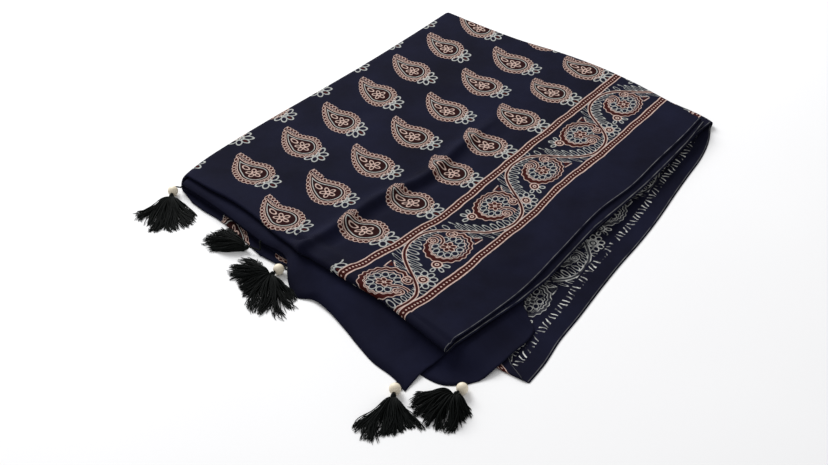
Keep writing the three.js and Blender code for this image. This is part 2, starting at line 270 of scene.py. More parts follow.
def on_length(length, side, across, along):
    """Points on one length: x = across * selvedge(y) and y = mix(near(x), far(x), along).

    The two depend on each other, so a few rounds settle them.
    """
    away = length[0]
    near, far, selvedge = length[1 if side > 0 else 2]
    x = across * selvedge(0.0) + 0 * along
    y = 0 * x
    for _ in range(5):
        y = mix(near(x), far(x), along)
        x = across * selvedge(y)
    layer = int(3.5 + side * away)
    return np.stack([x, y, height_of(layer, x, y)], -1)


def on_turn(start, finish, angle, outward):
    """A half turn from one layer to the next: the share is (1 - cos angle) / 2, and the fold
    bulges by half the gap times sin angle."""
    share = (1 - np.cos(angle)) / 2
    points = mix(start, finish, share[:, None, None])
    bulge = np.abs(start[..., 2] - finish[..., 2]) / 2 * np.sin(angle)[:, None]
    points[..., 1] += outward * bulge
    return points


def spaced(*stops):
    """Places along a run: stops are (place, steps to it from the stop before)."""
    places = [np.array([stops[0][0]])]
    for (start, _), (end, count) in zip(stops[:-1], stops[1:]):
        places.append(np.linspace(start, end, count + 1)[1:])
    return np.concatenate(places)


PLAIN_ROWS = spaced((0, 0), (0.1, 5), (0.9, 8), (1, 3))
FLAP_ROWS = spaced((0, 0), (0.3, 22), (0.9, 8), (1, 3))
TOP_ROWS = spaced((0, 0), (0.08, 14), (0.97, 82), (1, 4))
UPPER_COLUMNS = spaced((0, 0), (0.08, 14), (0.92, 130), (1, 14))
LOWER_COLUMNS = spaced((0, 0), (0.6, 14), (0.9, 12), (1, 16))


def side_points(side, across):
    """All rows of the section on one side, in the order in which the cloth runs."""
    first, second, third, fourth = LENGTHS
    across = across[None, :]

    def run(length, rows):
        return on_length(length, side, across, rows[:, None])

    def turn(before, after, end, steps, outward):
        edge = np.array([[float(end)]])
        angle = np.pi * np.arange(1, steps) / steps
        start = on_length(before, side, across, edge)
        finish = on_length(after, side, across, edge)
        return on_turn(start, finish, angle, outward)

    return [
        run(first, PLAIN_ROWS), turn(first, second, 1, 4, 1),
        run(second, PLAIN_ROWS[::-1]), turn(second, third, 0, 10, -1),
        run(third, TOP_ROWS), turn(third, fourth, 1, 6, 1),
        run(fourth, FLAP_ROWS[::-1]),
    ]


upper_parts = side_points(1, UPPER_COLUMNS)
lower_parts = side_points(-1, LOWER_COLUMNS)
part_rows = [len(part) for part in upper_parts]
upper_side = np.concatenate(upper_parts)
lower_side = np.concatenate(lower_parts)

# Round the last crease: from the upper side's x = 0 down to the lower side's.
CREASE_STEPS = 12
angle = np.pi * np.arange(1, CREASE_STEPS) / CREASE_STEPS
over, under = upper_side[:, :1], lower_side[:, :1]
crease = mix(over, under, ((1 - np.cos(angle)) / 2)[None, :, None])
crease[..., 0] = -(over[..., 2] - under[..., 2]) / 2 * np.sin(angle)[None, :]

grid = np.concatenate([upper_side[:, ::-1], crease, lower_side], axis=1)
grid[..., 0] += crease_bow(grid[..., 1]) * (1 - smooth(0, 200, grid[..., 0]))
ROWS, COLUMNS = grid.shape[:2]
UPPER_COUNT = len(UPPER_COLUMNS)
row_starts = np.cumsum([0] + part_rows)
print("grid:", ROWS, "rows,", COLUMNS, "columns; triangles about", 4 * ROWS * COLUMNS)

# The folds are measured in millimetres from the corner where the last crease meets the near fold.
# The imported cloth's box gives the shift from there to the model's own frame, in metres.
grid_low, grid_high = grid.reshape(-1, 3).min(0), grid.reshape(-1, 3).max(0)
SHIFT = np.array([
    (cloth_low.x + cloth_high.x) / 2 - (grid_low[0] + grid_high[0]) / 2000,
    (cloth_low.y + cloth_high.y) / 2 - (grid_low[1] + grid_high[1]) / 2000,
    0.0,
])
print("shift in metres:", SHIFT.round(4), "box differs by",
      ((grid_high - grid_low)[:2] - 1000 * np.array(cloth_high - cloth_low)[:2]).round(2), "mm")

# %% [markdown]
# ## The cloth's own coordinates
#
# A block print follows the cloth and not the folds, so each point of the grid also gets its place
# on the unfolded cloth: how far it lies from the selvedge, and how far along from the first end.
# The printer's rows wander a little, and short tables carry that.

# %% Places on the unfolded cloth
WIDTH, LENGTH = 1000.0, 2430.0
TOP_START = 1190.0  # how far along the cloth the top layer's y = 0 lies

# The border's inner and outer guard lines on the top layer: rows are [y, x].
inner_guard = line([[-20, 286], [10, 289], [60, 296], [80, 301], [120, 304], [160, 312],
                    [200, 312], [300, 311], [420, 311], [600, 312]])
outer_guard = line([[-20, 388], [10, 389], [80, 394], [160, 396], [240, 399], [300, 394],
                    [420, 398], [600, 396]])
GUARD_IN, GUARD_OUT = 160.0, 73.0
# How far from the selvedge each place of the field lies on the cloth: rows are [x, distance].
# The ridge at x = 212 to 238 takes up more cloth than the plan shows.
field_place = line([[-60, 542], [0, 482], [57, 425], [160, 322], [212, 270], [238, 232],
                    [252, 219], [312, 160]])
# How far the printer's hand set each row of motifs too low: rows are [x, drop].
row_drop = line([[0, 0], [57, 0], [160, 11], [252, 3], [300, 0]])

x, y = grid[..., 0], grid[..., 1]
edge = np.empty((ROWS, 1))
edge[:, 0] = grid[:, 0, 0]
inner, outer = inner_guard(y), outer_guard(y)
in_border = (inner - x) / (inner - outer)
from_edge = np.where(
    x > outer,
    GUARD_OUT * (edge - x) / np.maximum(edge - outer, 1),
    np.where(
        x > inner,
        mix(GUARD_IN, GUARD_OUT, in_border),
        GUARD_IN + (field_place(x - (inner - 312)) - field_place(312.0 + 0 * x)),
    ),
)
step_across = np.linalg.norm(np.diff(grid, axis=1), axis=2)
walked = np.concatenate([np.zeros((ROWS, 1)), np.cumsum(step_across, axis=1)], axis=1)
at_crease = from_edge[:, UPPER_COUNT - 1:UPPER_COUNT]
after = walked - walked[:, UPPER_COUNT - 1:UPPER_COUNT]
left = walked[:, -1:] - walked
whole = after + left
plain = mix(at_crease, WIDTH, after / whole)
from_edge[:, UPPER_COUNT:] = mix(plain, WIDTH - left, smooth(200, 80, left))[:, UPPER_COUNT:]

along_cloth = np.empty((ROWS, COLUMNS))
third_start, third_end = row_starts[4], row_starts[5]
along_cloth[third_start:third_end] = TOP_START + y[third_start:third_end]
step_along = np.linalg.norm(np.diff(grid, axis=0), axis=2)
for row in range(third_start - 1, -1, -1):
    along_cloth[row] = along_cloth[row + 1] - step_along[row]
for row in range(third_end, ROWS):
    along_cloth[row] = along_cloth[row - 1] + step_along[row - 1]
along_cloth += row_drop(x) * (x < 330)
print("cloth runs from", along_cloth[0].min().round(), "to", along_cloth[-1].max().round(), "mm")

# %% [markdown]
# ## From grid to mesh
#
# The cloth is thin but it isn't a film, so the mesh has a printed sheet and a reverse sheet, half a
# thickness to each side of the grid, closed along all four edges.

# %% Build the cloth


def sheet_normals(points):
    """Unit normals of a grid: (next column - last column) x (next row - last row)."""
    along_row = np.gradient(points, axis=1)
    along_column = np.gradient(points, axis=0)
    normal = np.cross(along_row, along_column)
    return normal / np.maximum(np.linalg.norm(normal, axis=2, keepdims=True), 1e-9)


def to_metres(points):
    """From the plan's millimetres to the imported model's frame in metres."""
    return points / 1000 + SHIFT


def mesh_object(name, points, faces, smooth_faces=True):
    """A mesh object from an array of points and an array of faces with the same number of corners."""
    mesh = bpy.data.meshes.new(name)
    mesh.vertices.add(len(points))
    mesh.vertices.foreach_set("co", np.ascontiguousarray(points, np.float32).ravel())
    faces = np.ascontiguousarray(faces, np.int32)
    count, corners = faces.shape
    mesh.loops.add(count * corners)
    mesh.loops.foreach_set("vertex_index", faces.ravel())
    mesh.polygons.add(count)
    mesh.polygons.foreach_set("loop_start", np.arange(count, dtype=np.int32) * corners)
    mesh.polygons.foreach_set("loop_total", np.full(count, corners, np.int32))
    mesh.update(calc_edges=True)
    mesh.polygons.foreach_set("use_smooth", np.full(count, smooth_faces))
    thing = bpy.data.objects.new(name, mesh)
    bpy.context.scene.collection.objects.link(thing)
    return thing


normals = sheet_normals(grid)
reverse_sheet = grid + normals * CLOTH_THICK / 2
printed_sheet = grid - normals * CLOTH_THICK / 2
points = to_metres(np.concatenate([printed_sheet.reshape(-1, 3), reverse_sheet.reshape(-1, 3)]))

index = np.arange(ROWS * COLUMNS).reshape(ROWS, COLUMNS)
a, b = index[:-1, :-1], index[:-1, 1:]
c, d = index[1:, 1:], index[1:, :-1]
SIDE = ROWS * COLUMNS
printed_faces = np.stack([a, d, c, b], -1).reshape(-1, 4)
reverse_faces = np.stack([a, b, c, d], -1).reshape(-1, 4) + SIDE


def rim(run, flip):
    """Faces that close the two sheets along one edge of the grid."""
    start, end = run[:-1], run[1:]
    faces = np.stack([start, end, end + SIDE, start + SIDE], -1)
    return faces[:, ::-1] if flip else faces


rim_faces = np.concatenate([
    rim(index[0], False), rim(index[-1], True), rim(index[:, 0], True), rim(index[:, -1], False),
])
faces = np.concatenate([printed_faces, reverse_faces, rim_faces])
cloth = mesh_object("printed_cloth", points, faces)
print("cloth:", len(points), "points,", 2 * len(faces), "triangles")

# %% UV maps
place = np.stack([from_edge, along_cloth], -1).reshape(-1, 2) / 1000
place = np.concatenate([place, place])

# A second map gives every part of the cloth its own room on a unit square, most of it for the
# printed face of the top layer.
part_room = [0.02, 0.01, 0.02, 0.03, 0.8, 0.02, 0.1]
room_rows = np.concatenate([
    start + room * (np.arange(count) + 0.5) / count
    for start, room, count in zip(np.cumsum([0] + part_room[:-1]), part_room, part_rows)
])
room_columns = np.interp(
    np.arange(COLUMNS),
    [0, UPPER_COUNT - 1, UPPER_COUNT + CREASE_STEPS, COLUMNS - 1], [0.0, 0.72, 0.745, 0.8],
)
back_columns = np.interp(
    np.arange(COLUMNS), [0, UPPER_COUNT - 1, COLUMNS - 1], [0.815, 0.9, 0.985],
)
room_front = np.stack(np.meshgrid(room_columns, room_rows), -1).reshape(-1, 2)
room_back = np.stack(np.meshgrid(back_columns, room_rows), -1).reshape(-1, 2)
room = np.concatenate([room_front, room_back])

corners = faces.ravel()
cloth_uv = cloth.data.uv_layers.new(name="cloth")
cloth_uv.data.foreach_set("uv", place[corners].astype(np.float32).ravel())
bake_uv = cloth.data.uv_layers.new(name="OFBake")
rim_start = 4 * (len(printed_faces) + len(reverse_faces))
bake_corners = room[corners]
rim_count = len(rim_faces)
rim_along = (np.arange(rim_count) + 0.5) / rim_count
rim_room = np.stack([
    np.tile([0.99, 0.99, 0.995, 0.995], rim_count),
    (rim_along[:, None] + np.array([-0.4, 0.4, 0.4, -0.4]) / rim_count).ravel(),
], -1)
bake_corners[rim_start:] = rim_room
bake_uv.data.foreach_set("uv", bake_corners.astype(np.float32).ravel())
print("UV maps:", [layer.name for layer in cloth.data.uv_layers])

# %% [markdown]
# ## Drawing with nodes
#
# The print is arithmetic on the cloth's own coordinates: a distance to a shape, and ink where that
# distance is small. A small helper lets Python's own signs (+, -, *, /) lay down Math nodes, so that
# a motif reads like a formula.

# %% A helper for Math nodes


class Amount:
    """A number that the shader works out at each point of the cloth."""

    tree = None

    def __init__(self, socket):
        self.socket = socket

    def __add__(self, other):
        return step("ADD", self, other)

    def __radd__(self, other):
        return step("ADD", other, self)

    def __sub__(self, other):
        return step("SUBTRACT", self, other)

    def __rsub__(self, other):
        return step("SUBTRACT", other, self)

    def __mul__(self, other):
        return step("MULTIPLY", self, other)

    def __rmul__(self, other):
        return step("MULTIPLY", other, self)

    def __truediv__(self, other):
        return step("DIVIDE", self, other)

    def __neg__(self):
        return step("MULTIPLY", self, -1.0)


def feed(value, socket):
    """Links an amount to a socket, or sets the socket to a plain number or colour."""
    if isinstance(value, Amount):
        Amount.tree.links.new(value.socket, socket)
    else:
        socket.default_value = value


def step(operation, *values, clamp=False):
    """One Math node."""
    node = Amount.tree.nodes.new("ShaderNodeMath")
    node.operation = operation
    node.use_clamp = clamp
    for socket, value in zip(node.inputs, values):
        feed(value, socket)
    return Amount(node.outputs[0])


def least(*values):
    """The smallest of some amounts."""
    result = values[0]
    for value in values[1:]:
        result = step("MINIMUM", result, value)
    return result


def greatest(*values):
    """The largest of some amounts."""
    result = values[0]
    for value in values[1:]:
        result = step("MAXIMUM", result, value)
    return result


def size(value):
    """How big an amount is, whatever its sign."""
    return step("ABSOLUTE", value)


def length_of(x, y):
    """sqrt(x^2 + y^2)."""
    return step("SQRT", step("MULTIPLY_ADD", x, x, y * y))


def wrapped(value, period):
    """The value brought to within half a period of 0 by whole periods."""
    return step("WRAP", value, period / 2, -period / 2)


BLEED = 0.45  # how far, in mm, an edge of ink fades


def inside(distance, bleed=BLEED):
    """1 where a distance is below 0, fading over the bleed."""
    return step("MULTIPLY_ADD", distance, -1 / bleed, 0.5, clamp=True)


def inked(distance, half_width):
    """1 on a printed line, where the size of the distance is below half its width."""
    return inside(size(distance) - half_width)


def turned(x, y, degrees):
    """x and y after the paper is turned by an angle."""
    c, s = math.cos(math.radians(degrees)), math.sin(math.radians(degrees))
    return (step("MULTIPLY_ADD", x, c, y * s), step("MULTIPLY_ADD", y, c, x * -s))


def loop_distance(x, y, half_long, half_wide):
    """How far a point lies from a leaf-shaped loop about 0: (length(x / a, y / b) - 1) * b."""
    reach = length_of(x * (1 / half_long), y * (1 / half_wide))
    return step("MULTIPLY_ADD", reach, half_wide, -half_wide)


def fan(x, y, count):
    """Repeats one sector about 0. Gives the distance along the sector's middle, the distance
    aside from it, and the angle of the sector."""
    angle = step("ARCTAN2", y, x)
    near = step("SNAP", angle + math.pi / count, 2 * math.pi / count)
    rest = angle - near
    reach = length_of(x, y)
    return reach * step("COSINE", rest), reach * step("SINE", rest), near


# %% [markdown]
# ## The motifs
#
# The field carries rows of paisleys. A paisley is a round head and a bent tail: the distance to an
# uneven capsule (two circles and their shared tangents), on paper that is bent so that the tail
# curls, with a short hook over it. It is filled with madder red, and inside its outline come a row
# of beads, a cream line, a pale line and a small flower. Leaf loops stand at its base.

# %% The paisley


def uneven_capsule(x, y, r_head, r_tail, reach):
    """Distance to two circles joined by their tangents, and how far round the outline a point is.

    The head is at 0 and the tail at -reach on x. With b = (r_head - r_tail) / reach and
    a = sqrt(1 - b^2), the flank's distance is a|y| - b x - r_head.
    """
    b = (r_head - r_tail) / reach
    a = math.sqrt(1 - b * b)
    aside = size(y)
    ahead = -x
    along = step("MULTIPLY_ADD", ahead, a, aside * -b)
    flank = step("MULTIPLY_ADD", aside, a, ahead * b) - r_head
    head = length_of(x, y) - r_head
    tail = length_of(x + reach, y) - r_tail
    on_tail = step("GREATER_THAN", along, a * reach)
    on_head = step("LESS_THAN", along, 0.0)
    distance = flank + on_head * (head - flank) + on_tail * (tail - flank)
    angle = step("ARCTAN2", aside, x)
    start = (math.pi - math.acos(b)) * (r_head - 4)
    walk = along + start + on_head * (angle * (r_head - 4) - along - start)
    return distance, walk


def beaded(along, across, pitch, outer, hole):
    """A row of round loops: the ink of their rings, and that of their middles."""
    reach = length_of(wrapped(along, pitch), across)
    middle = inside(reach - hole)
    return inside(reach - outer) - middle, middle


def paisley(x, y):
    """The inks of one paisley about 0, in mm: cream, pale, red and brown."""
    bend = step("MAXIMUM", (x + 2.0) * (-1 / 36), 0.0)
    curled = y - bend * bend * 18.0
    body, walk = uneven_capsule(x - 14.0, curled, 26.5, 9.0, 44.0)
    hook_x, hook_y = turned(x + 33.0, y - 18.5, -4)
    off_hook = size(hook_x - 7.0) - 7.0
    hook = length_of(step("MAXIMUM", off_hook, 0.0), hook_y) - 4.3
    hooked = inside(hook)
    ring, dots = beaded(walk, body + 3.6, 6.0, 3.1, 2.25)
    hook_ring, hook_dots = beaded(hook_x, hook_y, 6.0, 3.1, 2.25)
    free = 1 - hooked
    inner = body + 7.9
    rings = greatest(ring, inked(inner, 0.55)) * free
    cream = greatest(rings, hook_ring * hooked)
    brown = greatest(dots * free, hook_dots * hooked)
    pale = inked(body + 11.4, 0.6) * free
    field = inside(body + 1.5) * free
    along, aside, _ = fan(x - 12.0, y + 0.5, 5)
    petals = loop_distance(along - 6.4, aside, 3.8, 2.5)
    leaf = loop_distance(x + 6.0, curled - 0.5, 6.0, 3.0)
    sprig = inside(body + 12.4) * greatest(inked(petals, 0.6), inked(leaf, 0.6)) * free
    return greatest(cream, sprig), pale, field, brown


def base_leaves(x, y):
    """Five leaf loops that stand at a paisley's base: pale loops round a red bud."""
    along, aside, angle = fan(x - 38.5, y, 8)
    leaf = loop_distance(along - 11.4, aside, 6.4, 3.9)
    facing = inside(size(angle) - 1.8, 0.1)
    stem = inked(aside, 0.6) * inside(along - 5.0)
    bud = inside(size(angle) - 0.4, 0.1) * inside(leaf + 1.6)
    return greatest(inked(leaf, 0.75), stem) * facing, bud


# %% [markdown]
# ## The border
#
# Between its two guard lines the border carries a vine. Every half wave of the vine is the last one
# turned over, so one half wave is drawn and the paper is mirrored for each next one. In each bay
# lies a big curled flower head: a banded ring that is open towards the stem, with a fan of petals
# and a red cluster inside. Leaf loops stand along the stem like the teeth of a comb.

# %% The vine
HALF_WAVE = 102.5
WAVE = math.pi / HALF_WAVE
SWING, FLATNESS = 36.0, 1.3

# How far the stem runs for each millimetre of border: a straight part and a wave, fitted to the
# real length of the curve.
along_border = np.linspace(-HALF_WAVE / 2, HALF_WAVE / 2, 401)
bulge = SWING / math.sin(FLATNESS) * np.sin(FLATNESS * np.cos(WAVE * along_border))
piece = np.hypot(np.diff(along_border), np.diff(bulge))
stem_run = np.concatenate([[0], np.cumsum(piece)]) - piece.sum() / 2
basis = np.stack([along_border, np.sin(2 * WAVE * along_border), np.sin(4 * WAVE * along_border)])
RUN_STRAIGHT, RUN_WAVE, RUN_RIPPLE = np.linalg.lstsq(basis.T, stem_run, rcond=None)[0]
TEETH = 15
TOOTH, OUTER_TOOTH = piece.sum() / TEETH, piece.sum() / TEETH * 1.875
LONG_LEAF, SHORT_LEAF, LEAF_HALF = 7.0, 4.2, 2.6
HEAD_RING, PETALS, SEEDS, ROSE_PETALS, LOW_LEAVES = 25.5, 11, 6, 9, 7
print("a half wave of stem is", piece.sum().round(1), "mm and carries", TEETH, "teeth")


def vine(across, along):
    """The inks of the border about its middle: cream, pale and red."""
    cell = step("FLOOR", along * (1 / HALF_WAVE))
    flip = step("FLOORED_MODULO", cell, 2.0) * 2.0 - 1.0
    p = across * flip
    q = along - cell * HALF_WAVE - HALF_WAVE / 2
    turn = q * WAVE
    swing = step("COSINE", turn)
    stem_place = step("SINE", swing * FLATNESS) * (SWING / math.sin(FLATNESS))
    slope = step("COSINE", swing * FLATNESS) * step("SINE", turn)
    slope = slope * (-SWING / math.sin(FLATNESS) * FLATNESS * WAVE)
    tilt = step("INVERSE_SQRT", step("MULTIPLY_ADD", slope, slope, 1.0))
    off_stem = (p - stem_place) * tilt
    run = q * RUN_STRAIGHT + step("SINE", turn * 2.0) * RUN_WAVE
    run = run + step("SINE", turn * 4.0) * RUN_RIPPLE
    tooth = wrapped(run + TOOTH / 2, TOOTH)
    # Long teeth below the head, on the stem's hollow side, and short leaves elsewhere.
    leaf_long = mix(SHORT_LEAF, LONG_LEAF, inside(q + 4.0, 3.0))
    from_leaf = off_stem + leaf_long + 2.8
    lean = tooth + from_leaf * 0.25
    inner_comb = length_of(from_leaf / leaf_long, lean * (1 / LEAF_HALF)) * LEAF_HALF - LEAF_HALF
    outer_tooth = wrapped(run, OUTER_TOOTH)
    outer_comb = loop_distance(off_stem - 7.0, outer_tooth - (off_stem - 7.0) * 0.6, 4.3, 3.4)
    comb = inked(least(inner_comb, outer_comb), 0.42)
    from_stem = size(off_stem)
    stem_cream = inked(from_stem - 2.0, 0.55)
    stem_red = inside(from_stem - 1.4)
    # The flower head, a little longer than it is wide.
    x, y = p + 4.0, q - 13.0
    reach = length_of(x * 1.06, y * 0.86)
    angle = step("ARCTAN2", y, x)
    ring = reach - HEAD_RING - step("SINE", angle * 18.0) * 0.8
    mouth = size(wrapped(angle - 0.48, 2 * math.pi)) - 0.52
    closed = 1 - inside(mouth, 0.06)
    below = inside(y + 8.0, 24.0)
    off_ring = size(ring + below) - below * 1.2
    ring_cream = greatest(inked(off_ring - 2.2, 0.5), inked(ring + 5.9, 0.45)) * closed
    ring_red = inside(off_ring - 1.7) * closed
    upper_x, upper_y = x - 13.5, y - 22.5
    lower_x, lower_y = x - 21.0, y + 2.0
    from_lower = length_of(lower_x, lower_y)
    stalk = size(from_lower - 11.5) + inside(lower_y + 1.0, 1.5) * 9.0
    curl = least(size(length_of(upper_x, upper_y) - 4.8), size(from_lower - 4.4), stalk)
    curl_cream = inked(curl - 1.7, 0.48)
    curl_red = inside(curl - 1.3)
    disc = inside(reach - 30.0)
    core = inside(reach - 19.2) * (1 - inside(curl - 2.6))
    along_petal, aside, _ = fan(x * 1.06, y * 0.86, PETALS)
    petal = loop_distance(along_petal - 14.8, aside, 4.1, 3.5)
    petals = inked(petal, 0.5) * core
    near_x, near_y = turned(x, y, 12)
    along_seed, aside_seed, _ = fan(near_x, near_y, SEEDS)
    seed = loop_distance(along_seed - 5.6, aside_seed, 4.0, 2.9)
    seed_red = inside(seed) * core
    seed_cream = inked(seed, 0.5) * core
    # A pointed bud over the head, and a curled red rose with leaves under it.
    bud_x, bud_y = turned(x + 14.5, y - 28.0, 118)
    bud = greatest(size(bud_y) - 6.4 + bud_x * 0.4, -bud_x)
    low_x, low_y = x + 11.0, y + 35.5
    from_low = length_of(low_x, low_y)
    low_rose = greatest(from_low - 6.0, 2.0 - from_low)
    along_low, aside_low, low_angle = fan(low_x, low_y, LOW_LEAVES)
    low_leaf = loop_distance(along_low - 11.0, aside_low, 4.0, 2.3)
    low_side = inside(size(wrapped(low_angle + 2.6, 2 * math.pi)) - 1.6, 0.1)
    # A half rosette against the outer guard, once in every whole wave.
    rose_x, rose_y = across - 21.0, wrapped(along + 3.0, 2 * HALF_WAVE)
    along_rose, aside_rose, _ = fan(rose_x, rose_y, ROSE_PETALS)
    rose = loop_distance(along_rose - 11.5, aside_rose, 4.4, 3.5)
    rose_inner = greatest(along_rose - 5.6, 1.8 - along_rose)
    in_rose = inside(along_rose - 16.6) * inside(flip * off_stem * -1.0 + 3.0)
    in_low = inside(from_low - 15.5) * (1 - disc)
    free = 1 - greatest(disc, in_rose, in_low * low_side, inside(bud))
    pale = greatest(
        comb * free, petals, inked(rose, 0.6) * in_rose, inked(low_leaf, 0.6) * in_low * low_side,
    )
    cream = greatest(
        stem_cream * (1 - disc), ring_cream, curl_cream * disc, seed_cream,
        inked(bud, 0.75) * (1 - disc), inked(low_rose, 0.75), inked(rose_inner, 0.75) * in_rose,
    )
    red = greatest(
        stem_red * (1 - disc), ring_red, curl_red * disc, seed_red,
        inside(size(bud + 3.4) - 1.2), inside(low_rose), inside(rose_inner) * in_rose,
    )
    return cream, pale, red


def guard(across, along):
    """A guard line: a red-brown band with a row of cream dots, between two cream lines."""
    from_middle = size(across)
    lines = inked(from_middle - 5.2, 0.85)
    dots = inside(length_of(across, wrapped(along, 5.2)) - 1.15)
    return greatest(lines, dots), inside(from_middle - 4.4)


# %% [markdown]
# ## The cotton
#
# The real cloth is woven, dyed and printed, and its material follows it: two indigos in soft clouds,
# the inks of the print laid over them one by one, and a fine bump where the threads cross. The ink
# takes unevenly on the threads, so that its lines don't look like paint. The reverse shows only what
# has come through. A picture could carry the print too, but a formula stays sharp at any distance.

# %% Colours and node parts


def paint(under, over, share):
    """Lays one colour over another by a share."""
    node = Amount.tree.nodes.new("ShaderNodeMix")
    node.data_type = "RGBA"
    feed(share, node.inputs["Factor"])
    feed(under, node.inputs[6])
    feed(over, node.inputs[7])
    return Amount(node.outputs[2])


def colour(red, green, blue):
    """A colour given as it looks on screen, from 0 to 255, turned to the linear one that nodes use."""
    seen = np.array([red, green, blue]) / 255
    linear = np.where(seen <= 0.04045, seen / 12.92, ((seen + 0.055) / 1.055) ** 2.4)
    return (*linear, 1.0)


INDIGO = colour(12, 12, 26)
INDIGO_WORN = colour(23, 25, 46)
CREAM = colour(214, 186, 174)
PALE = colour(186, 188, 184)
MADDER = colour(36, 10, 9)
BROWN = colour(56, 16, 12)
GREY_WHITE = colour(216, 217, 213)
print("dyes and inks are ready")


def new_material(name):
    """An empty node material, with the Principled shader linked to its output."""
    material = bpy.data.materials.new(name)
    material.use_nodes = True
    Amount.tree = material.node_tree
    Amount.tree.nodes.clear()
    shader = Amount.tree.nodes.new("ShaderNodeBsdfPrincipled")
    output = Amount.tree.nodes.new("ShaderNodeOutputMaterial")
    Amount.tree.links.new(shader.outputs[0], output.inputs[0])
    return material, shader


def noise(vector, scale, detail=2.0, roughness=0.5):
    """Soft random spots of about 1 / scale metres, from 0 to 1."""
    node = Amount.tree.nodes.new("ShaderNodeTexNoise")
    feed(vector, node.inputs["Vector"])
    node.inputs["Scale"].default_value = scale
    node.inputs["Detail"].default_value = detail
    node.inputs["Roughness"].default_value = roughness
    return Amount(node.outputs[0])


# %% Where the print lies
# The field's motifs, in mm: columns across the cloth and rows along it, each column a half row
# further than the last. The far border lies 46 mm nearer to its selvedge than the first one does.
COLUMN_PITCH, ROW_PITCH, COLUMN_DROP = 103.0, 82.0, 41.0
FIRST_COLUMN, MOTIF_MIDDLE, FIRST_ROW = 210.5, 219.0, 160.0
BORDER_MIDDLE, BORDER_HALF, FAR_BORDER = 116.5, 39.0, 46.0
BORDER_MARGIN, FIELD_MARGIN = 118.0, 135.0


def past_ends(v):
    """How far a place lies past the nearer end of the cloth: below 0 on it."""
    return size(v + TOP_START - LENGTH / 2) - LENGTH / 2


def from_selvedge(a):
    """How far a place lies from the nearer selvedge, by the borders' own places."""
    return step("MINIMUM", a, (WIDTH + FAR_BORDER) - a)


def column_of(a):
    """The number of the field's column."""
    return step("ROUND", (a - FIRST_COLUMN) * (1 / COLUMN_PITCH))


def print_inks(a, v, by_hand):
    """The whole print at a place that lies a from the selvedge and v along, in mm: how much cream,
    pale, red and brown ink is there. by_hand says how far each motif was set off its place."""
    column = column_of(a)
    x = (a - MOTIF_MIDDLE) * -1.0 + column * COLUMN_PITCH
    low = v - FIRST_ROW - column * COLUMN_DROP
    # The printer set the far half of the width 26 mm nearer.
    x = x + (by_hand[0] - 0.5) * 4.0 - inside(571.0 - a, 1.0) * 26.0
    y = wrapped(low, ROW_PITCH) + (by_hand[1] - 0.5) * 5.0
    # The strip round the near fold has no motifs, and is narrower in the middle of the field.
    beside = inside(a - 370.0) * inside(270.0 - a) * 24.0
    off_fold = greatest(v - 32.0 + beside, 178.0 - a, a - 500.0, -60.0 - v)
    to_ends = past_ends(v)
    in_field = inside(GUARD_IN + 6 - a) * inside(a - (WIDTH - 133)) * inside(to_ends + FIELD_MARGIN)
    in_field = in_field * (1 - inside(off_fold))
    cream, pale, red, brown = paisley(x, y)
    leaves, bud = base_leaves(x, y)
    cream, pale = cream * in_field, greatest(pale, leaves) * in_field
    red, brown = red * in_field, greatest(brown, bud) * in_field
    from_side = from_selvedge(a)
    bordered = inside(to_ends + BORDER_MARGIN)
    border = inside(size(from_side - BORDER_MIDDLE) - BORDER_HALF) * bordered
    vine_cream, vine_pale, vine_red = vine(BORDER_MIDDLE - from_side, v - 52.0)
    cream = greatest(cream, vine_cream * border)
    pale = greatest(pale, vine_pale * border)
    brown = greatest(brown, vine_red * border)
    inner_ink, inner_band = guard(from_side - GUARD_IN, v)
    outer_ink, outer_band = guard(from_side - GUARD_OUT, v)
    band = greatest(inner_band, outer_band) * bordered
    clear = 1 - band
    cream = greatest(cream * clear, greatest(inner_ink, outer_ink) * bordered)
    return cream, pale * clear, red * clear, greatest(brown, band)


# %% The cloth's material
WEAVE_PITCH = 0.0011


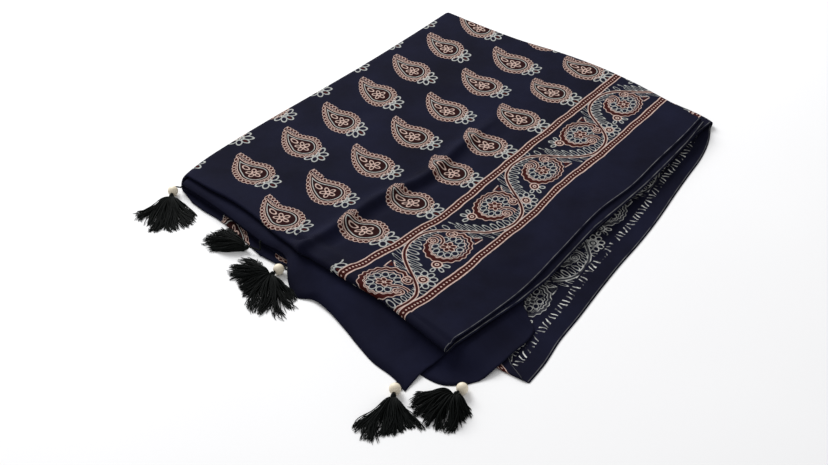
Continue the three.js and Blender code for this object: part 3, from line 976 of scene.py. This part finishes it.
def cloth_material(name, printed):
    """The cotton: its print in the cloth's coordinates, its dye, and its weave."""
    material, shader = new_material(name)
    tree = Amount.tree
    uv = tree.nodes.new("ShaderNodeUVMap")
    uv.uv_map = "cloth"
    place = Amount(uv.outputs[0])
    split = tree.nodes.new("ShaderNodeSeparateXYZ")
    tree.links.new(uv.outputs[0], split.inputs[0])
    across, along = Amount(split.outputs[0]), Amount(split.outputs[1])
    wobble = noise(place, 26.0, 2.0)
    a = step("MULTIPLY_ADD", across, 1000.0, (wobble - 0.5) * 5.0)
    v = step("MULTIPLY_ADD", along, 1000.0, (wobble - 0.5) * 3.0 - TOP_START)
    column = column_of(a)
    row = step("ROUND", (v - FIRST_ROW - column * COLUMN_DROP) * (1 / ROW_PITCH))
    dice = tree.nodes.new("ShaderNodeTexWhiteNoise")
    dice.noise_dimensions = "2D"
    both = tree.nodes.new("ShaderNodeCombineXYZ")
    feed(column, both.inputs[0])
    feed(row, both.inputs[1])
    tree.links.new(both.outputs[0], dice.inputs["Vector"])
    thrown = tree.nodes.new("ShaderNodeSeparateColor")
    tree.links.new(dice.outputs["Color"], thrown.inputs[0])
    by_hand = (Amount(thrown.outputs[0]), Amount(thrown.outputs[1]))
    cream, pale, red, brown = print_inks(a, v, by_hand)
    dye = noise(place, 9.0, 5.0, 0.65)
    wear = noise(place, 420.0, 3.0, 0.6)
    ground = paint(INDIGO, INDIGO_WORN, step("MULTIPLY_ADD", dye, 2.0, -0.62, clamp=True))
    taken = step("MULTIPLY_ADD", wear, 1.3, 0.12, clamp=True)
    if printed:
        painted = paint(ground, MADDER, red * 0.95)
        painted = paint(painted, BROWN, brown * 0.95)
        painted = paint(painted, CREAM, cream * taken)
        painted = paint(painted, PALE, pale * taken)
    else:
        # The print only comes through to the reverse in places.
        patchy = step("MULTIPLY_ADD", noise(place, 95.0, 2.0), 5.0, -1.6, clamp=True)
        through = greatest(cream, pale, brown * 0.08) * taken
        # The outer guard is only short, uneven strokes there.
        off_guard = from_selvedge(a) - GUARD_OUT
        loose = noise(place, 55.0, 2.0)
        at_guard = inside(size(off_guard) - 7.2)
        lean = step("SINE", v * 0.21 + loose * 6.0) * off_guard * 0.5
        stroke = inked(wrapped(v + lean + loose * 9.0, 7.0), 0.75)
        kept = step("MULTIPLY_ADD", loose, 7.0, -2.9, clamp=True)
        through = through * (1 - at_guard) + inside(size(off_guard) - 4.6) * stroke * kept
        painted = paint(ground, GREY_WHITE, through * patchy)
    selvedge = step("MINIMUM", across, 1.0 - across)
    broken = step("MULTIPLY_ADD", noise(place, 60.0, 2.0), 2.0, -0.5, clamp=True)
    thread = inked((selvedge - 0.0024) * 1000.0, 0.4) * broken
    # The selvedge frays along the middle of the length, and is clean by the ends.
    painted = paint(painted, GREY_WHITE, thread * inside(past_ends(v) + 230.0, 60.0) * 0.3)
    feed(painted, shader.inputs["Base Color"])
    shader.inputs["Roughness"].default_value = 0.9
    shader.inputs["Specular IOR Level"].default_value = 0.06
    # The weave: warp and weft threads cross every 1.1 mm of a coarse, hand-woven cotton.
    warp = step("SINE", across * (2 * math.pi / WEAVE_PITCH))
    weft = step("SINE", along * (2 * math.pi / WEAVE_PITCH))
    weave = tree.nodes.new("ShaderNodeBump")
    weave.inputs["Strength"].default_value = 0.35
    weave.inputs["Distance"].default_value = 0.0002
    feed(warp * weft, weave.inputs["Height"])
    soft = tree.nodes.new("ShaderNodeBump")
    soft.inputs["Strength"].default_value = 0.55
    soft.inputs["Distance"].default_value = 0.0014
    feed(noise(place, 24.0, 3.0, 0.55), soft.inputs["Height"])
    tree.links.new(weave.outputs[0], soft.inputs["Normal"])
    tree.links.new(soft.outputs[0], shader.inputs["Normal"])
    print(name, "has", len(tree.nodes), "nodes")
    return material


cloth.data.materials.append(cloth_material("printed face", True))
cloth.data.materials.append(cloth_material("reverse face", False))
which = np.zeros(len(faces), np.int32)
which[len(printed_faces):] = 1
cloth.data.polygons.foreach_set("material_index", which)

# %% [markdown]
# ## Tassels and beads
#
# A tassel is one bundle of threads: a looped cord through a wooden bead, a bound neck, and the
# threads that fan out below it. Each thread is a fine three-sided tube.

# %% Threads and beads
BEAD_RADIUS = 6.9
BEAD_HOLE = 1.9
HOLE_WALL, HOLE_HALF_LENGTH, BEAD_SIDES = 1.75, 5.8, 32
NECK_RADIUS, NECK_LENGTH, GAP, MOUTH = 3.4, 8.0, 0.4, 1.8
NECK_GAP = 0.9
NECK_TURNS = 8
STRAND_RADIUS, STRAND_OFFSET, TWIST_LENGTH = 0.65, 0.55, 5
CORD_LOWEST, TIE_LOWEST = 1.25, 1.3
THREAD_RADIUS, THREAD_TIP = 0.6, 0.2
LOCK_DEGREES = 13
# Each row: the bead's x and y, the end of the cloth that it hangs from, the way it points, whether
# its bead is seen, its number of threads, how high they arch, and how far they reach towards each
# side: rows of [degrees, millimetres].
TASSELS = [
    (-11.6, -9.6, 0, -54, True, 330, 1.5, [
        [-104, 46], [-92, 55], [-76, 62], [-47, 68], [-21, 58], [-2, 48],
    ]),
    (155, -27, 0, -160, False, 260, 2.2, [[-200, 50], [-180, 58], [-170, 59], [-154, 51], [-138, 42]]),
    (207, -36.5, 0, -95, True, 430, 1.9, [
        [-196, 38], [-180, 52], [-168, 59], [-147, 52], [-124, 44], [-102, 42],
        [-79, 58], [-62, 71], [-46, 66], [-34, 74], [-20, 55], [-2, 38],
    ]),
    (446, -102, 0, -61, True, 320, 1.8, [
        [-97, 56], [-86, 63], [-76, 60], [-58, 52], [-29, 47], [-16, 52],
    ]),
    (504, -55, 1, -94, True, 380, 3.4, [
        [-150, 40], [-135, 50], [-116, 51], [-99, 50], [-79, 53],
        [-62, 53], [-45, 43], [-30, 33], [-6, 20],
    ]),
]
print(len(TASSELS), "tassels with", sum(tassel[5] for tassel in TASSELS), "threads")

# %% Tubes along paths


def tubes(paths, radius, sides):
    """Closed tubes along many paths at once.

    paths is (tubes, places, 3) and radius (tubes, places). A ring of corners stands round each
    place: centre + radius * (cos t * aside + sin t * up).
    """
    tangent = np.gradient(paths, axis=1)
    tangent /= np.maximum(np.linalg.norm(tangent, axis=2, keepdims=True), 1e-9)
    aside = np.cross(tangent, np.array([0.0, 0.0, 1.0]))
    flat = np.linalg.norm(aside, axis=2, keepdims=True)
    aside = np.where(flat > 1e-3, aside / np.maximum(flat, 1e-3), np.array([1.0, 0.0, 0.0]))
    up = np.cross(aside, tangent)
    turn = 2 * np.pi * np.arange(sides) / sides
    ring = (np.cos(turn)[:, None] * aside[:, :, None, :] + np.sin(turn)[:, None] * up[:, :, None, :])
    corners = paths[:, :, None, :] + radius[:, :, None, None] * ring
    count, places = paths.shape[:2]
    number = np.arange(count * places * sides).reshape(count, places, sides)
    nxt = np.roll(number, -1, axis=2)
    quads = np.stack(
        [number[:, :-1], nxt[:, :-1], nxt[:, 1:], number[:, 1:]], -1
    ).reshape(-1, 4)
    quads = quads[:, ::-1]
    middle = count * places * sides + np.arange(count * 2).reshape(count, 2)
    ends = paths[:, [0, -1]].reshape(-1, 3)
    first = np.stack([number[:, 0], nxt[:, 0], np.broadcast_to(middle[:, :1], (count, sides))], -1)
    last = np.stack([nxt[:, -1], number[:, -1], np.broadcast_to(middle[:, 1:], (count, sides))], -1)
    caps = np.concatenate([first.reshape(-1, 3), last.reshape(-1, 3)])
    return np.concatenate([corners.reshape(-1, 3), ends]), quads, caps


def triangles_of(quads, caps):
    """Quads as pairs of triangles, with the caps."""
    return np.concatenate([quads[:, [0, 1, 2]], quads[:, [0, 2, 3]], caps])


def joined(parts):
    """Many (points, triangles) as one."""
    points, faces, start = [], [], 0
    for part_points, part_faces in parts:
        points.append(part_points)
        faces.append(part_faces + start)
        start += len(part_points)
    return np.concatenate(points), np.concatenate(faces)


# %% Cords and threads


def tie_at(tassel, edge_row):
    """The nearest place on the end's edge to the bead, and the level way out from the edge there."""
    bead = np.array([tassel[0], tassel[1], BEAD_RADIUS])
    gap = np.linalg.norm(edge_row - bead, axis=1)
    i = int(np.clip(gap.argmin(), 1, len(edge_row) - 2))
    nearest = edge_row[i].copy()
    run = edge_row[i + 1] - edge_row[i - 1]
    out = np.array([run[1], -run[0], 0.0])
    if out @ (bead - nearest) < 0:
        out = -out
    if nearest[0] < 0:
        out = np.array([0.0, -1.0, 0.0])
    out /= np.linalg.norm(out)
    nearest[2] = max(nearest[2], TIE_LOWEST)
    return nearest, out


def curve_through(stops, count):
    """A smooth path through stops, by the cubic that also passes the middle of each leg."""
    stops = np.array(stops, float)
    t = np.linspace(0, len(stops) - 1, count)
    rows = np.arange(len(stops))
    return np.stack([line(np.stack([rows, stops[:, k]], -1))(t) for k in range(3)], -1)


def twisted_cord(way):
    """Two strands laid round each other: centre + offset * (cos t * side + sin t * up)."""
    count = len(way)
    tangent = np.gradient(way, axis=0)
    tangent /= np.linalg.norm(tangent, axis=1, keepdims=True)
    side = np.cross(tangent, [0, 0, 1.0])
    side /= np.linalg.norm(side, axis=1, keepdims=True)
    up = np.cross(side, tangent)
    walked = np.concatenate([[0], np.cumsum(np.linalg.norm(np.diff(way, axis=0), axis=1))])
    parts = []
    for phase in (0, math.pi):
        spin = walked * 2 * math.pi / TWIST_LENGTH + phase
        strand = way + STRAND_OFFSET * (np.cos(spin)[:, None] * side + np.sin(spin)[:, None] * up)
        pts, quads, caps = tubes(strand[None], np.full((1, count), STRAND_RADIUS), 6)
        parts.append((pts, triangles_of(quads, caps)))
    return parts


def thread_paths(number, root, ahead, tassel, dice):
    """Paths of all threads of a tassel at once, as (threads, places, 3).

    A thread leaves the neck at its own angle, drawn towards the middle of its lock. It goes root +
    reach * far * (cos, sin), where the reach comes from the tassel's table, and its height rises to
    a crown and falls to the floor.
    """
    _, _, _, _, _, count, loft, reaches = tassel
    aside = np.array([-ahead[1], ahead[0], 0.0])
    places = 15
    far = np.linspace(0, 1, places)[None, :]
    share = np.sort(dice.random(count))[:, None]
    level = dice.random(count)[:, None]
    wander = dice.normal(0, 1, count)[:, None]
    phase = dice.random(count)[:, None] * 2 * math.pi
    first, last = reaches[0][0], reaches[-1][0]
    degrees = mix(first, last, share)
    lock = np.floor(degrees / LOCK_DEGREES + 0.5)
    uneven = 0.95 + 0.06 * np.sin(lock * 2.4 + number)
    reach = line(reaches)(degrees) * uneven * mix(0.76, 1.05, dice.random(count)[:, None] ** 0.6)
    # the threads gather in locks, with a few degrees of curl and sway
    degrees = degrees - 2.0 * np.sin(degrees / LOCK_DEGREES * 2 * math.pi) + 1.2 * wander
    angle = np.radians(degrees + 4 * wander * (far - 0.6))
    angle = angle + np.radians(4) * np.sin(far * 6 + phase) * far
    angle = angle + np.radians(5) * np.sin(far * 5 + lock * 1.7) * far
    start = root + aside * (1.7 * NECK_RADIUS * (share - 0.5))
    px = start[:, 0:1] + reach * far * np.cos(angle)
    py = start[:, 1:2] + reach * far * np.sin(angle)
    arch = np.sin(np.pi * np.clip(far, 0, 1) ** 0.8) ** 1.2
    crown = 3.6 * loft * level * arch + (NECK_RADIUS * 2 * level) * (1 - smooth(0.0, 0.6, far))
    pz = THREAD_RADIUS + 0.06 + crown
    return np.stack([px, py, pz], -1)


# %% One whole tassel


def tassel_mesh(number, tassel):
    """Points and triangles of one tassel: cord, neck and threads."""
    x, y, end, heading = tassel[:4]
    dice = np.random.default_rng(40 + number)
    turn = math.radians(heading)
    ahead = np.array([math.cos(turn), math.sin(turn), 0.0])
    bead = np.array([x, y, BEAD_RADIUS])
    neck_start = bead + ahead * (BEAD_RADIUS + NECK_GAP)
    neck_end = neck_start + ahead * NECK_LENGTH
    neck_end[2] = NECK_RADIUS + 0.2
    nearest, out = tie_at(tassel, grid[0] if end == 0 else grid[-1])
    mouth = bead - ahead * (BEAD_RADIUS + MOUTH)
    stops = [nearest + out * GAP, nearest + out * (GAP + 2), mouth, bead, neck_start + ahead * 2]
    way = curve_through(stops, 60)
    way[:, 2] = np.maximum(way[:, 2], CORD_LOWEST)
    parts = twisted_cord(way)
    # the bound neck: a short barrel with a ridge for each turn of thread
    t = np.linspace(0, 1, 41)
    core = mix(neck_start, neck_end, t[:, None])
    ridges = 0.93 + 0.07 * np.sin(t * 2 * math.pi * NECK_TURNS)
    barrel = NECK_RADIUS * ridges * (1 - 0.35 * np.abs(2 * t - 1) ** 6)
    pts, quads, caps = tubes(core[None], barrel[None], 14)
    parts.append((pts, triangles_of(quads, caps)))
    paths = thread_paths(number, neck_end - ahead * 3, ahead, tassel, dice)
    radius = np.full(paths.shape[:2], THREAD_RADIUS)
    radius[:, -1] = THREAD_TIP
    pts, quads, caps = tubes(paths, radius, 3)
    parts.append((pts, triangles_of(quads, caps)))
    return joined(parts)


def thread_material():
    """Black cotton thread, with each thread a little lighter or darker than the next."""
    material, shader = new_material("black thread")
    where = Amount.tree.nodes.new("ShaderNodeTexCoord")
    spots = noise(Amount(where.outputs["Object"]), 900.0, 2.0)
    feed(paint(colour(2, 3, 3), colour(19, 23, 22), spots), shader.inputs["Base Color"])
    shader.inputs["Roughness"].default_value = 0.75
    shader.inputs["Specular IOR Level"].default_value = 0.1
    return material


# %% [markdown]
# ## The beads
#
# Each bead is turned from pale wood and drilled through. Its mesh is a half circle carried round the
# line of its hole, with the wall of the hole as the last two rows, so that it closes on itself. The
# grain is noise that is squashed along one direction.

# %% The bead's wood and shape


def bead_material():
    """Pale turned wood, with fine darker grain."""
    material, shader = new_material("ivory wood")
    where = Amount.tree.nodes.new("ShaderNodeTexCoord")
    squash = Amount.tree.nodes.new("ShaderNodeMapping")
    squash.inputs["Scale"].default_value = (1.0, 1.0, 6.0)
    Amount.tree.links.new(where.outputs["Object"], squash.inputs["Vector"])
    grain = noise(Amount(squash.outputs[0]), 160.0, 5.0, 0.7)
    feed(paint(colour(206, 190, 158), colour(246, 238, 222), grain), shader.inputs["Base Color"])
    shader.inputs["Roughness"].default_value = 0.5
    bump = Amount.tree.nodes.new("ShaderNodeBump")
    bump.inputs["Strength"].default_value = 0.2
    bump.inputs["Distance"].default_value = 0.0003
    feed(grain, bump.inputs["Height"])
    Amount.tree.links.new(bump.outputs[0], shader.inputs["Normal"])
    return material


def bead_mesh(tassel):
    """A ball with a hole along its heading, its mouth rounded over."""
    turn = math.radians(tassel[3])
    ahead = np.array([math.cos(turn), math.sin(turn), 0.0])
    aside = np.array([-ahead[1], ahead[0], 0.0])
    start = math.asin(BEAD_HOLE / BEAD_RADIUS)
    angle = np.linspace(start, math.pi - start, 25)
    out = np.concatenate([BEAD_RADIUS * np.sin(angle), [HOLE_WALL, HOLE_WALL]])
    forward = np.concatenate([BEAD_RADIUS * np.cos(angle), [-HOLE_HALF_LENGTH, HOLE_HALF_LENGTH]])
    spin = 2 * np.pi * np.arange(BEAD_SIDES) / BEAD_SIDES
    ring = np.cos(spin)[None, :, None] * aside + np.sin(spin)[None, :, None] * np.array([0, 0, 1.0])
    points = out[:, None, None] * ring + forward[:, None, None] * ahead
    points = points + np.array([tassel[0], tassel[1], BEAD_RADIUS])
    number = np.arange(len(out) * BEAD_SIDES).reshape(len(out), BEAD_SIDES)
    after = np.roll(number, -1, axis=0)
    nxt = np.roll(number, -1, axis=1)
    both = np.roll(after, -1, axis=1)
    faces = np.stack([number, after, both, nxt], -1).reshape(-1, 4)
    return points.reshape(-1, 3), faces


# %% [markdown]
# ## Put the pieces in place
#
# Every piece takes the place of the solid that it stands for in the imported model, and rides on the
# one body that the model has.

# %% Dress the imported model
threads = thread_material()
ivory = bead_material()
for number, tassel in enumerate(TASSELS, 1):
    points, triangles = tassel_mesh(number, tassel)
    tassel_piece = mesh_object(f"threads_{number}", to_metres(points), triangles)
    tassel_piece.data.materials.append(threads)
    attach(tassel_piece, "root")
    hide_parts(f"tassel_{number}")
    print("tassel", number, "has", len(triangles), "triangles")
    if tassel[4]:
        points, bead_faces = bead_mesh(tassel)
        bead_piece = mesh_object(f"wood_bead_{number}", to_metres(points), bead_faces)
        bead_piece.data.materials.append(ivory)
        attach(bead_piece, "root")
        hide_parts(f"bead_{number}")

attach(cloth, "root")
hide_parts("cloth")

# %% [markdown]
# ## Floor, light and camera
#
# The shawl lies on a pale table top under soft daylight from the left: an even, dim sky and one
# broad lamp in place of a window. A broad lamp gives the soft shadows that show the folds. The
# camera looks down over the corner of the near fold, with the lens that fits the cloth's lines.

# %% Table top
FLOOR_HALF = 4.0
floor_corners = FLOOR_HALF * np.array([[-1, -1, 0], [1, -1, 0], [1, 1, 0], [-1, 1, 0]])
floor = mesh_object("table_top", floor_corners, np.array([[0, 1, 2, 3]]))
white, shader = new_material("white table")
where = Amount.tree.nodes.new("ShaderNodeTexCoord")
spots = noise(Amount(where.outputs["Object"]), 3.0, 2.0)
feed(paint((0.84, 0.84, 0.85, 1), (0.88, 0.88, 0.89, 1), spots), shader.inputs["Base Color"])
shader.inputs["Roughness"].default_value = 0.7
floor.data.materials.append(white)
print("table top ready")

# %% Daylight
LAMP_PLACE, LAMP_WATTS, LAMP_WIDTH, SKY_STRENGTH = (-2.6, 1.1, 2.0), 136, 1.9, 0.6
world = bpy.data.worlds.new("daylight")
bpy.context.scene.world = world
world.use_nodes = True
world.node_tree.nodes["Background"].inputs["Color"].default_value = (1.0, 1.0, 1.0, 1)
world.node_tree.nodes["Background"].inputs["Strength"].default_value = SKY_STRENGTH

window_light = bpy.data.lights.new("window", "AREA")
window_light.energy, window_light.size = LAMP_WATTS, LAMP_WIDTH
window = bpy.data.objects.new("window", window_light)
window.location = LAMP_PLACE
to_cloth = Vector((0, 0.05, 0)) - Vector(window.location)
window.rotation_euler = to_cloth.to_track_quat("-Z", "Y").to_euler()
bpy.context.scene.collection.objects.link(window)
print("lamp of", LAMP_WATTS, "W at", LAMP_PLACE)

# %% Camera
# The lens is a focal length of 1236.7 pixels on a picture 828 pixels wide.
SENSOR, FOCAL, PICTURE_WIDTH = 36, 1236.7, 828
camera_data = bpy.data.cameras.new("camera")
camera_data.sensor_width = SENSOR
camera_data.lens = SENSOR * FOCAL / PICTURE_WIDTH
camera = bpy.data.objects.new("camera", camera_data)
camera.location = (1.051 + SHIFT[0], -0.8266 + SHIFT[1], 1.019)
camera.rotation_euler = (math.radians(50.2), 0, math.radians(38.58))
bpy.context.scene.collection.objects.link(camera)
bpy.context.scene.camera = camera
bpy.context.scene.view_settings.view_transform = "Standard"
print("lens:", round(camera_data.lens, 1), "mm")
